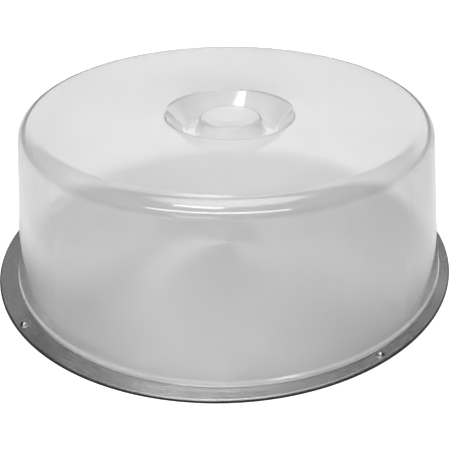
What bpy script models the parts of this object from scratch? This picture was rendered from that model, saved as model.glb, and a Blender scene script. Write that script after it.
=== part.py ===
"""Cake stand dome: a round steel serving plate with a clear dome that lifts off.

Metres, +Z up. The origin is the centre of the plate's underside, where it stands.
The plate is one pressed sheet, the dome one hollow moulding with a knob sunk into its roof.
"""

import math

import bpy
from mathutils import Vector

# Dome: foot and wall
foot_radius = 0.150             # outside of the lip
dome_height = 0.1087            # foot to the roof's outer edge, before rounding
wall_thickness = 0.002
wall_taper = math.radians(8.5)
lip_width = 0.0012              # how far the lip stands out of the wall
lip_height = 0.0022
lip_slope_height = 0.0014       # from the lip back to the wall
corner_radius = 0.0115
roof_fall = 0.0062              # roof's outer edge down to the bowl's rim

# Dome: knob and bowl in the roof
knob_foot_radius = 0.0228
knob_draft = 0.0025             # how much smaller the knob is at its top
knob_below_rim = 0.002          # knob's top under the bowl's rim
knob_crown = 0.0006             # how far the knob's top face bulges
knob_edge_rounding = wall_thickness + 0.0006
knob_foot_rounding = 0.0015
finger_gap = 0.009              # knob's foot to the edge of the bowl's floor
bowl_flare = 0.0112             # floor's edge out to the rim
bowl_depth = 0.013              # rim to floor
bowl_rim_rounding = wall_thickness + 0.0005
bowl_floor_rounding = 0.003

# Serving plate
plate_height = 0.003            # table to cake surface
sheet_thickness = 0.0008
edge_rounding = 0.0014          # outside corners of the rolled edge
edge_flat = 0.0001              # least flat left between those corners
hem_width = 0.0036              # how far the rolled edge reaches in, underneath
nub_radius = 0.00275            # pressed-up nubs that keep the dome in its place
nub_height = 0.0022
nub_count = 4
first_nub_angle = math.radians(45)
nub_to_edge = 0.00225           # outside of the nubs to the plate's edge

# How the dome stands on the plate
seat_gap = 0.0003               # dome's foot over the plate
nub_clearance = 0.00225         # foot to nubs, when the dome stands in the middle
nub_contact_gap = 0.0004        # what is left of it where the dome is pushed over

# What follows from these
nub_circle_radius = foot_radius + nub_clearance + nub_radius
plate_radius = nub_circle_radius + nub_radius + nub_to_edge
hem_rounding = min(edge_rounding, (plate_height - edge_flat) / 2)
knob_top_radius = knob_foot_radius - knob_draft
bowl_floor_radius = knob_foot_radius + finger_gap
bowl_rim_radius = bowl_floor_radius + bowl_flare

# Fineness of the meshes
turn_steps = 72
nub_steps = 20
cap_rings = 5
arc_step = math.radians(18)     # largest turn between two points on a rounding


def clear_scene():
    for old in list(bpy.data.objects):
        bpy.data.objects.remove(old, do_unlink=True)


def make_collection(name):
    group = bpy.data.collections.new(name)
    bpy.context.scene.collection.children.link(group)
    return group


def make_material(name, colour, roughness, metallic, transmission=0.0):
    material = bpy.data.materials.new(name)
    material.use_nodes = True
    shader = material.node_tree.nodes["Principled BSDF"]
    shader.inputs["Base Color"].default_value = (*colour, 1.0)
    shader.inputs["Roughness"].default_value = roughness
    shader.inputs["Metallic"].default_value = metallic
    shader.inputs["Transmission Weight"].default_value = transmission
    return material


def rounded_outline(corners):
    """Points of an open outline. Each corner is (radius, height, rounding)."""
    points = []
    last = len(corners) - 1
    for i, (r, z, rounding) in enumerate(corners):
        here = Vector((r, z))
        if i in (0, last) or rounding == 0.0:
            points.append(here)
            continue
        back = (Vector(corners[i - 1][:2]) - here).normalized()
        ahead = (Vector(corners[i + 1][:2]) - here).normalized()
        half = back.angle(ahead) / 2
        centre = here + (back + ahead).normalized() * (rounding / math.sin(half))
        start = here + back * (rounding / math.tan(half)) - centre
        turn = start.angle_signed(here + ahead * (rounding / math.tan(half)) - centre)
        pieces = max(2, math.ceil(abs(turn) / arc_step))
        for k in range(pieces + 1):
            # mathutils counts 2D angles clockwise
            a = -turn * k / pieces
            x = start.x * math.cos(a) - start.y * math.sin(a)
            y = start.x * math.sin(a) + start.y * math.cos(a)
            points.append(centre + Vector((x, y)))
    return points


def turned(name, outline, steps, group, place=(0.0, 0.0, 0.0)):
    """An object turned from an outline that runs down its outer side, top to bottom."""
    mesh = bpy.data.meshes.new(name)
    edges = [(i, i + 1) for i in range(len(outline) - 1)]
    mesh.from_pydata([(p.x, 0.0, p.y) for p in outline], edges, [])
    item = bpy.data.objects.new(name, mesh)
    item.location = place
    group.objects.link(item)
    screw = item.modifiers.new("Turn", "SCREW")
    screw.axis = "Z"
    screw.angle = 2 * math.pi
    screw.steps = steps
    screw.render_steps = steps
    screw.use_merge_vertices = True
    screw.merge_threshold = 0.00001
    screw.use_smooth_shade = True
    return item


def cap_outline(radius, top, base, bottom):
    """Half an ellipse from its top out to its base, then straight down to a flat bottom."""
    points = []
    for k in range(cap_rings + 1):
        a = math.pi / 2 * k / cap_rings
        points.append(Vector((radius * math.sin(a), base + (top - base) * math.cos(a))))
    points[0].x = 0.0
    return points + [Vector((radius, bottom)), Vector((0.0, bottom))]


def helper(name, outline, group, place):
    """A turned body that another object's Boolean uses, and that isn't a part itself."""
    item = turned(name, outline, nub_steps, group, place)
    item.hide_render = True
    item.display_type = "WIRE"
    return item


def add_boolean(item, tool, operation):
    boolean = item.modifiers.new(tool.name, "BOOLEAN")
    boolean.operation = operation
    boolean.solver = "EXACT"
    boolean.object = tool


def plate_outline():
    under = plate_height - sheet_thickness
    hem_radius = plate_radius - hem_width
    return rounded_outline([
        (0.0, plate_height, 0.0),
        (plate_radius, plate_height, hem_rounding),
        (plate_radius, 0.0, hem_rounding),
        (hem_radius, 0.0, 0.0),
        (hem_radius, under, 0.0),
        (0.0, under, 0.0),
    ])


def nub_places():
    """Centres of the nubs, as x and y."""
    angles = [first_nub_angle + 2 * math.pi * k / nub_count for k in range(nub_count)]
    return [(nub_circle_radius * math.cos(a), nub_circle_radius * math.sin(a)) for a in angles]


def build_plate(parts, cutters):
    plate = turned("serving_plate", plate_outline(), turn_steps, parts)
    under = plate_height - sheet_thickness
    sheet_middle = plate_height - sheet_thickness / 2
    nub = cap_outline(nub_radius, plate_height + nub_height, plate_height, sheet_middle)
    dimple = cap_outline(nub_radius - sheet_thickness, under + nub_height, under, under - sheet_thickness)
    for k, (x, y) in enumerate(nub_places()):
        add_boolean(plate, helper(f"nub_{k + 1}", nub, cutters, (x, y, 0.0)), "UNION")
        add_boolean(plate, helper(f"dimple_{k + 1}", dimple, cutters, (x, y, 0.0)), "DIFFERENCE")
    return plate


def dome_outline():
    foot = plate_height + seat_gap
    lip_top = foot + lip_height
    wall_foot = lip_top + lip_slope_height
    wall_foot_radius = foot_radius - lip_width
    roof_edge = foot + dome_height
    roof_radius = wall_foot_radius - (roof_edge - wall_foot) * math.tan(wall_taper)
    rim = roof_edge - roof_fall
    floor = rim - bowl_depth
    knob_top = rim - knob_below_rim
    return rounded_outline([
        (0.0, knob_top, 0.0),
        (knob_top_radius, knob_top - knob_crown, knob_edge_rounding),
        (knob_foot_radius, floor, knob_foot_rounding),
        (bowl_floor_radius, floor, bowl_floor_rounding),
        (bowl_rim_radius, rim, bowl_rim_rounding),
        (roof_radius, roof_edge, corner_radius),
        (wall_foot_radius, wall_foot, 0.0),
        (foot_radius, lip_top, 0.0),
        (foot_radius, foot, 0.0),
    ])


def dome_shift():
    """How far the dome stands off centre, pushed over towards +X until its foot meets a nub."""
    reach = foot_radius + nub_radius + nub_contact_gap
    return min(x - math.sqrt(reach**2 - y**2) for x, y in nub_places() if x > 0 and abs(y) < reach)


def build_dome(parts):
    dome = turned("dome_cover", dome_outline(), turn_steps, parts, (dome_shift(), 0.0, 0.0))
    shell = dome.modifiers.new("Wall", "SOLIDIFY")
    shell.thickness = wall_thickness
    shell.offset = -1.0
    shell.use_even_offset = True
    return dome


clear_scene()
parts = make_collection("cake_stand_dome")
cutters = make_collection("cutters")
steel = make_material("brushed_steel", (0.56, 0.56, 0.55), 0.32, 1.0)
clear_plastic = make_material("clear_plastic", (0.90, 0.91, 0.91), 0.08, 0.0, 0.9)
build_plate(parts, cutters).data.materials.append(steel)
build_dome(parts).data.materials.append(clear_plastic)
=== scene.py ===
import math

import bmesh
import bpy
from mathutils import Matrix, Vector


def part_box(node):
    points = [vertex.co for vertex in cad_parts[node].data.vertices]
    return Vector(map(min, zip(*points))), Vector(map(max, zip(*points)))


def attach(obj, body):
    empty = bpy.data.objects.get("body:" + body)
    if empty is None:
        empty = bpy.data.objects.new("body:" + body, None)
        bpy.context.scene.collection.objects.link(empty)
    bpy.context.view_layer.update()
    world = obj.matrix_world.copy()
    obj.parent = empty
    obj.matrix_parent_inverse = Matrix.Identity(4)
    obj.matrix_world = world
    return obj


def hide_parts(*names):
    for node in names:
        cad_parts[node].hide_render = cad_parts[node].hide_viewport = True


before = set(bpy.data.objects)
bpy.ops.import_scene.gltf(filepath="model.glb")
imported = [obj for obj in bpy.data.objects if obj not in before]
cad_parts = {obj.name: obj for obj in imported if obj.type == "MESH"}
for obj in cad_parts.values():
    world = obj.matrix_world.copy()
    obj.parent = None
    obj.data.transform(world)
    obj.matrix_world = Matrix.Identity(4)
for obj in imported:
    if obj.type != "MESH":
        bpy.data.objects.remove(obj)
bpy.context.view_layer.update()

print("stage 1: frame loaded,", ", ".join(sorted(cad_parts)))


# Small tools that every piece uses

samePlace = 1e-6         # points nearer than this count as one
mergeDistance = 0.00001


def deselectAll():
    if bpy.context.mode != "OBJECT":
        bpy.ops.object.mode_set(mode="OBJECT")
    bpy.ops.object.select_all(action="DESELECT")


def makeActive(piece):
    deselectAll()
    piece.select_set(True)
    bpy.context.view_layer.objects.active = piece


def nameIt(piece, name):
    piece.name = name
    piece.data.name = name
    return piece


def selectVerts(piece, test):
    mesh = bmesh.from_edit_mesh(piece.data)
    mesh.select_mode = {"VERT"}
    for vert in mesh.verts:
        vert.select = test(vert.co)
    mesh.select_flush_mode()
    bmesh.update_edit_mesh(piece.data)


def selectEdges(piece, test):
    mesh = bmesh.from_edit_mesh(piece.data)
    bpy.ops.mesh.select_mode(type="EDGE")
    for edge in mesh.edges:
        edge.select = all(test(vert.co) for vert in edge.verts)
    mesh.select_flush_mode()
    bmesh.update_edit_mesh(piece.data)


def applyModifier(piece, kind, **settings):
    makeActive(piece)
    modifier = piece.modifiers.new(kind.title(), kind)
    for key, value in settings.items():
        setattr(modifier, key, value)
    bpy.ops.object.modifier_apply(modifier=modifier.name)


# Turned pieces: one point is extruded from corner to corner, the corners are
# rounded, and the line is spun around the piece's axis

def drawOutline(name, corners, axisX, arcStep):
    radius, height = corners[0][:2]
    deselectAll()
    bpy.ops.mesh.primitive_plane_add(size=0.001, location=(axisX + radius, 0, height))
    piece = nameIt(bpy.context.object, name)
    bpy.ops.object.transform_apply(location=True, rotation=True, scale=True)
    bpy.ops.object.mode_set(mode="EDIT")
    bpy.ops.mesh.select_mode(type="VERT")
    bpy.ops.mesh.select_all(action="SELECT")
    bpy.ops.mesh.merge(type="CENTER")
    for here, there in zip(corners, corners[1:]):
        move = (there[0] - here[0], 0, there[1] - here[1])
        bpy.ops.mesh.extrude_vertices_move(TRANSFORM_OT_translate={"value": move})
    for i in range(1, len(corners) - 1):
        if corners[i][2]:
            roundCorner(piece, corners, i, axisX, arcStep)
    return piece


def roundCorner(piece, corners, i, axisX, arcStep):
    before, corner, after = (Vector((c[0], 0, c[1])) for c in corners[i - 1:i + 2])
    opening = (before - corner).angle(after - corner)
    place = corner + Vector((axisX, 0, 0))
    selectVerts(piece, lambda co: (co - place).length < samePlace)
    segments = max(3, math.ceil((math.pi - opening) / arcStep))
    reach = corners[i][2] / math.tan(opening / 2)
    bpy.ops.mesh.bevel(offset_type="OFFSET", offset=reach, segments=segments, affect="VERTICES")


def spinOutline(piece, axisX, steps):
    bpy.ops.mesh.select_all(action="SELECT")
    bpy.ops.mesh.spin(steps=steps, angle=math.tau, center=(axisX, 0, 0), axis=(0, 0, 1))
    bpy.ops.mesh.select_all(action="SELECT")
    bpy.ops.mesh.remove_doubles(threshold=mergeDistance)
    bpy.ops.mesh.normals_make_consistent(inside=False)
    bpy.ops.object.mode_set(mode="OBJECT")


def finishPiece(piece, body, node, material):
    makeActive(piece)
    bpy.ops.object.shade_smooth()
    applyModifier(piece, "WEIGHTED_NORMAL", keep_sharp=False, weight=100)
    piece.data.materials.clear()
    piece.data.materials.append(material)
    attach(piece, body)
    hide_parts(node)


# Material tools

def newMaterial(name):
    material = bpy.data.materials.new(name)
    material.use_nodes = True
    tree = material.node_tree
    return material, tree, tree.nodes["Principled BSDF"]


def addNode(tree, kind, values=(), **settings):
    node = tree.nodes.new(kind)
    for key, value in settings.items():
        setattr(node, key, value)
    for key, value in dict(values).items():
        node.inputs[key].default_value = value
    return node


def addMath(tree, operation, *given):
    # sockets are linked, plain numbers are set
    node = addNode(tree, "ShaderNodeMath", operation=operation)
    for i, value in enumerate(given):
        if isinstance(value, bpy.types.NodeSocket):
            tree.links.new(value, node.inputs[i])
        else:
            node.inputs[i].default_value = value
    return node.outputs["Value"]


def addRange(tree, source, start, end, low=0, high=1, **settings):
    node = addNode(tree, "ShaderNodeMapRange", {
        "From Min": start,
        "From Max": end,
        "To Min": low,
        "To Max": high,
    }, **settings)
    tree.links.new(source, node.inputs["Value"])
    return node.outputs["Result"]


def addTone(tree, source, span, tones):
    node = addNode(tree, "ShaderNodeValToRGB")
    for element, place, tone in zip(node.color_ramp.elements, span, tones):
        element.position = place
        element.color = tone
    tree.links.new(source, node.inputs["Fac"])
    return node.outputs["Color"]


def addBump(tree, height, settings):
    node = addNode(tree, "ShaderNodeBump", settings)
    tree.links.new(height, node.inputs["Height"])
    return node.outputs["Normal"]


def addPlace(tree, output="Object"):
    # where a point lies, whole and as its X, Y and Z
    place = addNode(tree, "ShaderNodeTexCoord").outputs[output]
    split = addNode(tree, "ShaderNodeSeparateXYZ")
    tree.links.new(place, split.inputs["Vector"])
    return place, split.outputs


def newGroup(name, inputs, outputs):
    group = bpy.data.node_groups.new(name, "ShaderNodeTree")
    for label, value in inputs.items():
        socket = group.interface.new_socket(label, in_out="INPUT", socket_type="NodeSocketFloat")
        socket.default_value = value
    for label in outputs:
        group.interface.new_socket(label, in_out="OUTPUT", socket_type="NodeSocketFloat")
    return group, group.nodes.new("NodeGroupInput"), group.nodes.new("NodeGroupOutput")


def placeGroup(tree, group, **values):
    node = tree.nodes.new("ShaderNodeGroup")
    node.node_tree = group
    for key, value in values.items():
        node.inputs[key].default_value = value
    return node


def ringGrainGroup():
    # lines that run in rings around the piece's axis, and fade in and out along them
    group, given, result = newGroup("ringGrain", {"Centre X": 0, "Rings": 900, "Break": 3}, ["Grain"])
    link = group.links.new
    place = addNode(group, "ShaderNodeTexCoord")
    centre = addNode(group, "ShaderNodeCombineXYZ")
    link(given.outputs["Centre X"], centre.inputs["X"])
    shifted = addNode(group, "ShaderNodeVectorMath", operation="SUBTRACT")
    link(place.outputs["Object"], shifted.inputs[0])
    link(centre.outputs["Vector"], shifted.inputs[1])
    flat = addNode(group, "ShaderNodeVectorMath", {1: (1, 1, 0)}, operation="MULTIPLY")
    link(shifted.outputs["Vector"], flat.inputs[0])
    radius = addNode(group, "ShaderNodeVectorMath", operation="LENGTH")
    link(flat.outputs["Vector"], radius.inputs[0])
    around = addNode(group, "ShaderNodeVectorMath", operation="NORMALIZE")
    link(flat.outputs["Vector"], around.inputs[0])
    along = addNode(group, "ShaderNodeVectorMath", operation="SCALE")
    link(around.outputs["Vector"], along.inputs[0])
    link(given.outputs["Break"], along.inputs["Scale"])
    outward = addMath(group, "MULTIPLY", radius.outputs["Value"], given.outputs["Rings"])
    upright = addNode(group, "ShaderNodeCombineXYZ")
    link(outward, upright.inputs["Z"])
    where = addNode(group, "ShaderNodeVectorMath", operation="ADD")
    link(along.outputs["Vector"], where.inputs[0])
    link(upright.outputs["Vector"], where.inputs[1])
    lines = addNode(group, "ShaderNodeTexNoise", {"Scale": 1, "Detail": 2, "Roughness": 0.6})
    link(where.outputs["Vector"], lines.inputs["Vector"])
    link(lines.outputs["Fac"], result.inputs["Grain"])
    return group


def handlingGroup():
    # soft patches left by fingers and cloths
    group, given, result = newGroup("handling", {"Size": 30, "Amount": 1}, ["Smudge"])
    link = group.links.new
    place = addNode(group, "ShaderNodeTexCoord")
    patches = addNode(group, "ShaderNodeTexNoise", {"Detail": 3, "Roughness": 0.55})
    link(place.outputs["Object"], patches.inputs["Vector"])
    link(given.outputs["Size"], patches.inputs["Scale"])
    spread = addNode(group, "ShaderNodeMapRange", {"From Min": 0.4, "From Max": 0.7})
    link(patches.outputs["Fac"], spread.inputs["Value"])
    link(given.outputs["Amount"], spread.inputs["To Max"])
    link(spread.outputs["Result"], result.inputs["Smudge"])
    return group


# Camera

cameraLook = {
    "away": 0.4423,         # from the plate's axis, level
    "height": 0.2872,
    "around": 10.35,        # degrees from the front towards the right
    "down": 31.33,
    "pan": 5.29,            # degrees past the axis, to the right
    "roll": 1.42,
    "lens": 56.73,
    "shiftX": -0.1333,
    "sensor": 36,
    "nearest": 0.01,
}


def addCamera(look):
    around = math.radians(look["around"])
    data = bpy.data.cameras.new("camera")
    camera = bpy.data.objects.new("camera", data)
    bpy.context.scene.collection.objects.link(camera)
    camera.location = (look["away"] * math.sin(around), -look["away"] * math.cos(around), look["height"])
    heading = Matrix.Rotation(around - math.radians(look["pan"]), 3, "Z")
    tilt = Matrix.Rotation(math.radians(90 - look["down"]), 3, "X")
    roll = Matrix.Rotation(math.radians(look["roll"]), 3, "Z")
    camera.rotation_euler = (heading @ tilt @ roll).to_euler()
    data.sensor_width = look["sensor"]
    data.lens = look["lens"]
    data.shift_x = look["shiftX"]
    data.clip_start = look["nearest"]
    bpy.context.scene.camera = camera


addCamera(cameraLook)
print("stage 2: camera placed")


# Serving plate: a pressed steel sheet with a rolled edge and four nubs

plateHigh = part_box("serving_plate")[1]
plateLook = {
    "radius": plateHigh.x,
    "sheet": 0.0008,
    "edgeTop": 0.0030,       # cake surface
    "edgeRounding": 0.0014,
    "hemWidth": 0.0036,
    "hemRounding": 0.0004,
    "nubRadius": 0.00275,
    "nubHeight": 0.0022,
    "nubCircle": 0.155,
    "nubFillet": 0.0006,
    "filletSegments": 4,
    "ballSegments": 40,
    "ballRings": 24,
    "nubs": 4,
    "firstNub": 45,
    "spinSteps": 240,
    "arcStep": math.radians(9),
}


def buildPlate(look, material):
    radius, top, sheet = look["radius"], look["edgeTop"], look["sheet"]
    hem = radius - look["hemWidth"]
    plate = drawOutline("serving_plate_skin", [
        (0, top, 0),
        (radius, top, look["edgeRounding"]),
        (radius, 0, look["edgeRounding"]),
        (hem, 0, look["hemRounding"]),
        (hem, top - sheet, look["hemRounding"]),
        (0, top - sheet, 0),
    ], 0, look["arcStep"])
    spinOutline(plate, 0, look["spinSteps"])
    for i in range(look["nubs"]):
        angle = math.radians(look["firstNub"] + 360 / look["nubs"] * i)
        place = Vector((math.cos(angle), math.sin(angle), 0)) * look["nubCircle"]
        pressNub(plate, look, place)
    finishPiece(plate, "plate", "serving_plate", material)


def halfBall(look, name, radius, base, height, bottom, place):
    # the upper half of a flattened ball, standing on a short round stem
    deselectAll()
    bpy.ops.mesh.primitive_uv_sphere_add(
        segments=look["ballSegments"],
        ring_count=look["ballRings"],
        radius=1,
        location=place + Vector((0, 0, base)),
        scale=(radius, radius, height),
    )
    ball = nameIt(bpy.context.object, name)
    bpy.ops.object.transform_apply(location=True, rotation=True, scale=True)
    bpy.ops.object.mode_set(mode="EDIT")
    bpy.ops.mesh.select_all(action="SELECT")
    bpy.ops.mesh.bisect(plane_co=(0, 0, base), plane_no=(0, 0, 1), clear_inner=True, use_fill=True)
    bpy.ops.mesh.select_all(action="DESELECT")
    bpy.ops.mesh.select_mode(type="FACE")
    mesh = bmesh.from_edit_mesh(ball.data)
    for face in mesh.faces:
        face.select = all(vert.co.z < base + samePlace for vert in face.verts)
    bmesh.update_edit_mesh(ball.data)
    bpy.ops.mesh.extrude_region_move(TRANSFORM_OT_translate={"value": (0, 0, bottom - base)})
    bpy.ops.mesh.select_all(action="SELECT")
    bpy.ops.mesh.normals_make_consistent(inside=False)
    bpy.ops.object.mode_set(mode="OBJECT")
    return ball


def useTool(piece, tool, operation):
    applyModifier(piece, "BOOLEAN", operation=operation, solver="EXACT", object=tool)
    bpy.data.objects.remove(tool, do_unlink=True)


def pressNub(plate, look, place):
    top, sheet = look["edgeTop"], look["sheet"]
    radius, height = look["nubRadius"], look["nubHeight"]
    useTool(plate, halfBall(look, "nub", radius, top, height, top - sheet / 2, place), "UNION")
    makeActive(plate)
    bpy.ops.object.mode_set(mode="EDIT")

    def atNubFoot(co):
        outward = (co.xy - place.xy).length
        return abs(outward - radius) < mergeDistance and abs(co.z - top) < samePlace

    selectEdges(plate, atNubFoot)
    bpy.ops.mesh.bevel(offset=look["nubFillet"], segments=look["filletSegments"], affect="EDGES")
    bpy.ops.object.mode_set(mode="OBJECT")
    dimple = halfBall(look, "dimple", radius - sheet, top - sheet, height, top - 2 * sheet, place)
    useTool(plate, dimple, "DIFFERENCE")


# Dome: one clear moulding

domeLow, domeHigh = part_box("dome_cover")
domeLook = {
    "axisX": (domeLow.x + domeHigh.x) / 2,
    "wall": 0.002,
    "taper": math.radians(8.5),
    "lipWidth": 0.0012,
    "lipHeight": 0.0022,
    "lipSlope": 0.0014,
    "lipRounding": 0.0005,
    "wallFootRounding": 0.0015,
    "cornerRounding": 0.0115,
    "cornerLift": 0.0007,        # roof's edge, before rounding, over the dome's highest point
    "roofFall": 0.0062,
    "rimRadius": 0.0430,
    "rimRounding": 0.0025,
    "bowlDepth": 0.013,
    "bowlFloor": 0.0318,
    "bowlRounding": 0.003,
    "knobFoot": 0.0228,
    "knobFootRounding": 0.0015,
    "knobTop": 0.0203,
    "knobBelowRim": 0.002,
    "knobCrown": 0.0006,
    "crownRounding": 0.05,
    "knobRounding": 0.0026,
    "edgeSoftness": 0.00035,
    "edgeSegments": 3,
    "sameRadius": 0.0001,        # ends of a foot edge that runs around, not across
    "spinSteps": 240,
    "arcStep": math.radians(7),
}


def buildDome(look, material):
    radius = (domeHigh.x - domeLow.x) / 2
    foot = domeLow.z
    roofEdge = domeHigh.z + look["cornerLift"]
    lipTop = foot + look["lipHeight"]
    wallFoot = lipTop + look["lipSlope"]
    wallRadius = radius - look["lipWidth"]
    roofRadius = wallRadius - (roofEdge - wallFoot) * math.tan(look["taper"])
    rim = roofEdge - look["roofFall"]
    floor = rim - look["bowlDepth"]
    knobTop = rim - look["knobBelowRim"]
    crown = look["knobCrown"]
    dome = drawOutline("dome_skin", [
        (0, knobTop, 0),
        (look["knobTop"] / 2, knobTop - crown / 4, look["crownRounding"]),
        (look["knobTop"], knobTop - crown, look["knobRounding"]),
        (look["knobFoot"], floor, look["knobFootRounding"]),
        (look["bowlFloor"], floor, look["bowlRounding"]),
        (look["rimRadius"], rim, look["rimRounding"]),
        (roofRadius, roofEdge, look["cornerRounding"]),
        (wallRadius, wallFoot, look["wallFootRounding"]),
        (radius, lipTop, look["lipRounding"]),
        (radius, foot, 0),
    ], look["axisX"], look["arcStep"])
    spinOutline(dome, look["axisX"], look["spinSteps"])
    applyModifier(dome, "SOLIDIFY", thickness=look["wall"], offset=-1, use_even_offset=True)
    bpy.ops.object.mode_set(mode="EDIT")
    selectEdges(dome, lambda co: co.z < foot + samePlace)
    mesh = bmesh.from_edit_mesh(dome.data)
    for edge in mesh.edges:
        if edge.select:
            a, b = (math.hypot(vert.co.x - look["axisX"], vert.co.y) for vert in edge.verts)
            edge.select = abs(a - b) < look["sameRadius"]
    bmesh.update_edit_mesh(dome.data)
    bpy.ops.mesh.bevel(offset=look["edgeSoftness"], segments=look["edgeSegments"], affect="EDGES")
    bpy.ops.object.mode_set(mode="OBJECT")
    finishPiece(dome, "dome", "dome_cover", material)


# Finishes

steelLook = {
    "anisotropy": 0.93,
    "coarseRings": {"Rings": 700, "Break": 4},
    "fineRings": {"Rings": 2600, "Break": 5},
    "smudges": {"Size": 18, "Amount": 1},
    "toneSpan": (0.3, 0.72),
    "tones": ((0.415, 0.415, 0.41, 1), (0.445, 0.445, 0.44, 1)),
    "roughSpan": (0.25, 0.75),
    "roughness": (0.22, 0.28),
    "smudgeRoughness": 0.06,
    "wornFrom": 0.0001,      # over the cake surface
    "wornTo": 0.0008,
    "wornShare": 0.55,       # of the roughness, on the nubs
    "bump": {"Strength": 0.08, "Distance": 0.00004},
}

plasticLook = {
    "transmission": 0.7,
    "ior": 1.5,
    "coat": 0.5,
    "coatRoughness": 0.02,
    "flowLines": {"Rings": 160, "Break": 2},
    "smudges": {"Size": 24, "Amount": 1},
    "tones": ((0.955, 0.955, 0.955, 1), (0.99, 0.99, 0.99, 1)),
    "roughness": (0.06, 0.095),
    "bump": {"Strength": 0.12, "Distance": 0.0002},
    "lampTint": (0.98, 0.98, 0.98, 1),
}


def brushedSteel(look, top, ringGrain, handling):
    material, tree, shader = newMaterial("brushedSteel")
    link = tree.links.new
    shader.inputs["Metallic"].default_value = 1
    shader.inputs["Anisotropic"].default_value = look["anisotropy"]
    coarse = placeGroup(tree, ringGrain, **look["coarseRings"]).outputs["Grain"]
    fine = placeGroup(tree, ringGrain, **look["fineRings"]).outputs["Grain"]
    smudge = placeGroup(tree, handling, **look["smudges"]).outputs["Smudge"]
    link(addTone(tree, coarse, look["toneSpan"], look["tones"]), shader.inputs["Base Color"])
    brushed = addRange(tree, fine, *look["roughSpan"], *look["roughness"])
    rough = addMath(tree, "MULTIPLY_ADD", smudge, look["smudgeRoughness"], brushed)
    # the dome's foot has rubbed the nubs smooth
    height = addPlace(tree)[1]["Z"]
    worn = addRange(tree, height, top + look["wornFrom"], top + look["wornTo"], 1, look["wornShare"])
    link(addMath(tree, "MULTIPLY", rough, worn), shader.inputs["Roughness"])
    tangent = addNode(tree, "ShaderNodeTangent", direction_type="RADIAL", axis="Z")
    link(tangent.outputs["Tangent"], shader.inputs["Tangent"])
    link(addBump(tree, fine, look["bump"]), shader.inputs["Normal"])
    return material


def clearPlastic(look, axisX, ringGrain, handling):
    material, tree, shader = newMaterial("clearPlastic")
    link = tree.links.new
    shader.inputs["Transmission Weight"].default_value = look["transmission"]
    shader.inputs["IOR"].default_value = look["ior"]
    shader.inputs["Coat Weight"].default_value = look["coat"]
    shader.inputs["Coat Roughness"].default_value = look["coatRoughness"]
    smudge = placeGroup(tree, handling, **look["smudges"]).outputs["Smudge"]
    flow = placeGroup(tree, ringGrain, **look["flowLines"])
    flow.inputs["Centre X"].default_value = axisX
    link(addTone(tree, smudge, (0, 1), look["tones"]), shader.inputs["Base Color"])
    link(addRange(tree, smudge, 0, 1, *look["roughness"]), shader.inputs["Roughness"])
    link(addBump(tree, flow.outputs["Grain"], look["bump"]), shader.inputs["Normal"])
    # lamps shine through to the plate
    path = addNode(tree, "ShaderNodeLightPath")
    clear = addNode(tree, "ShaderNodeBsdfTransparent", {"Color": look["lampTint"]})
    mix = addNode(tree, "ShaderNodeMixShader")
    link(path.outputs["Is Shadow Ray"], mix.inputs["Fac"])
    link(shader.outputs["BSDF"], mix.inputs[1])
    link(clear.outputs["BSDF"], mix.inputs[2])
    link(mix.outputs["Shader"], tree.nodes["Material Output"].inputs["Surface"])
    return material


ringGrain = ringGrainGroup()
handling = handlingGroup()
buildPlate(plateLook, brushedSteel(steelLook, plateLook["edgeTop"], ringGrain, handling))
print("stage 3: serving plate made")
buildDome(domeLook, clearPlastic(plasticLook, domeLook["axisX"], ringGrain, handling))
print("stage 4: dome made")


# Floor, lights and surroundings

studioLook = {
    "floorSize": 8,
    "floorTone": (0.93, 0.93, 0.93, 1),
    "floorRoughness": 0.8,
    "floorShine": 0.1,
    "floorGlow": 0.32,
    "seenGlow": 0.8,             # added where the camera sees the floor itself
    # painted reflection: the tone the floor in front takes in mirror reflections only
    "paintedTableReflection": (0.05, 0.05, 0.05, 1),
    "tableWidth": 0.36,
    "tableBack": 0.08,           # the table fades out from here to as far in front
    "tableFade": 0.04,
    # painted shadow round the plate's edge, seen only in mirror reflections
    "paintedShadowRing": (0.012, 0.006),  # from the plate's edge, where it starts and is full
    "room": 0.03,
    "overhead": 2.55,
    "overheadRise": (0.90, 0.96),
    "backdrop": 0.95,
    "backdropFoot": (0.15, 0.22),
    "backdropTop": (0.54, 0.42),
    "backdropBehind": (0.45, 0.8),
    "seenRoom": 1.0,
    "lampDistance": 1.2,
}

# around in degrees from the front towards the right, up in degrees over the table
lampLook = {
    "stripLight": {"around": 3, "up": 38, "width": 1.4, "height": 0.14, "glow": 5.5},
    "squareLight": {"around": -14, "up": 61, "width": 0.36, "height": 0.12, "glow": 9},
    "lowLight": {"around": -6, "up": 14, "width": 0.45, "height": 0.2, "glow": 1.8},
    "backLight": {"around": 195, "up": 47, "width": 0.14, "height": 0.3, "glow": 2.2},
}


def addFade(tree, source, start, end):
    return addRange(tree, source, start, end, interpolation_type="SMOOTHSTEP")


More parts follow.
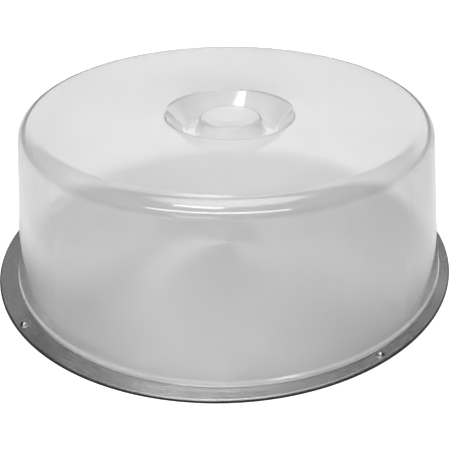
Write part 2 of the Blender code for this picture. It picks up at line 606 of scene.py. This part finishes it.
def addFloor(look, plateRadius):
    deselectAll()
    bpy.ops.mesh.primitive_plane_add(size=look["floorSize"], location=(0, 0, 0))
    floor = nameIt(bpy.context.object, "floor")
    material, tree, shader = newMaterial("paleFloor")
    link = tree.links.new
    path = addNode(tree, "ShaderNodeLightPath").outputs
    place, along = addPlace(tree)
    # painted reflection: in mirror reflections the floor in front is a dark table, so that edges read
    # against it; all other rays see the pale floor
    near = addFade(tree, along["Y"], look["tableBack"], -look["tableBack"])
    side = addMath(tree, "ABSOLUTE", along["X"])
    half, fade = look["tableWidth"] / 2, look["tableFade"]
    within = addFade(tree, side, half + fade, half - fade)
    tableReflectionMask = addMath(tree, "MULTIPLY", near, within)
    mirrored = addMath(tree, "MULTIPLY", path["Is Glossy Ray"], path["Is Reflection Ray"])
    # painted shadow: close to the plate the floor is dark all round in mirror reflections
    radius = addNode(tree, "ShaderNodeVectorMath", operation="LENGTH")
    link(place, radius.inputs[0])
    ringStart, ringFull = (plateRadius + reach for reach in look["paintedShadowRing"])
    ring = addRange(tree, radius.outputs["Value"], ringStart, ringFull)
    dark = addMath(tree, "MULTIPLY", mirrored, addMath(tree, "MAXIMUM", tableReflectionMask, ring))
    tone = addNode(tree, "ShaderNodeMix", {6: look["floorTone"], 7: look["paintedTableReflection"]}, data_type="RGBA")
    link(dark, tone.inputs["Factor"])
    link(tone.outputs[2], shader.inputs["Base Color"])
    link(tone.outputs[2], shader.inputs["Emission Color"])
    glow = addMath(tree, "MULTIPLY_ADD", path["Is Camera Ray"], look["seenGlow"], look["floorGlow"])
    link(glow, shader.inputs["Emission Strength"])
    shader.inputs["Roughness"].default_value = look["floorRoughness"]
    shader.inputs["Specular IOR Level"].default_value = look["floorShine"]
    floor.data.materials.append(material)


def addSurroundings(look):
    # a dim room with a broad light overhead and a low pale backdrop behind the table
    world = bpy.data.worlds.new("studio")
    bpy.context.scene.world = world
    world.use_nodes = True
    tree = world.node_tree
    link = tree.links.new
    back = tree.nodes["Background"]
    along = addPlace(tree, "Generated")[1]
    overhead = addFade(tree, along["Z"], *look["overheadRise"])
    lit = addMath(tree, "MULTIPLY_ADD", overhead, look["overhead"], look["room"])
    backdrop = addMath(tree, "MULTIPLY", addFade(tree, along["Z"], *look["backdropFoot"]), look["backdrop"])
    backdrop = addMath(tree, "MULTIPLY", addFade(tree, along["Z"], *look["backdropTop"]), backdrop)
    backdrop = addMath(tree, "MULTIPLY", addFade(tree, along["Y"], *look["backdropBehind"]), backdrop)
    both = addMath(tree, "ADD", backdrop, lit)
    # the camera itself sees a white room
    path = addNode(tree, "ShaderNodeLightPath")
    seen = addNode(tree, "ShaderNodeMix", {"B": look["seenRoom"]}, data_type="FLOAT")
    link(path.outputs["Is Camera Ray"], seen.inputs["Factor"])
    link(both, seen.inputs["A"])
    link(seen.outputs["Result"], back.inputs["Strength"])
    back.inputs["Color"].default_value = (1, 1, 1, 1)


def addLight(name, distance, around, up, width, height, glow):
    data = bpy.data.lights.new(name, "AREA")
    data.shape = "RECTANGLE"
    data.size = width
    data.size_y = height
    data.energy = glow * width * height * math.pi
    light = bpy.data.objects.new(name, data)
    bpy.context.scene.collection.objects.link(light)
    a, e = math.radians(around), math.radians(up)
    place = Vector((math.sin(a) * math.cos(e), -math.cos(a) * math.cos(e), math.sin(e))) * distance
    light.location = place
    light.rotation_euler = (-place).to_track_quat("-Z", "Y").to_euler()


addFloor(studioLook, plateLook["radius"])
addSurroundings(studioLook)
for name, lamp in lampLook.items():
    addLight(name, studioLook["lampDistance"], **lamp)
bpy.context.scene.view_settings.view_transform = "Standard"
print("stage 5: floor and lights placed")
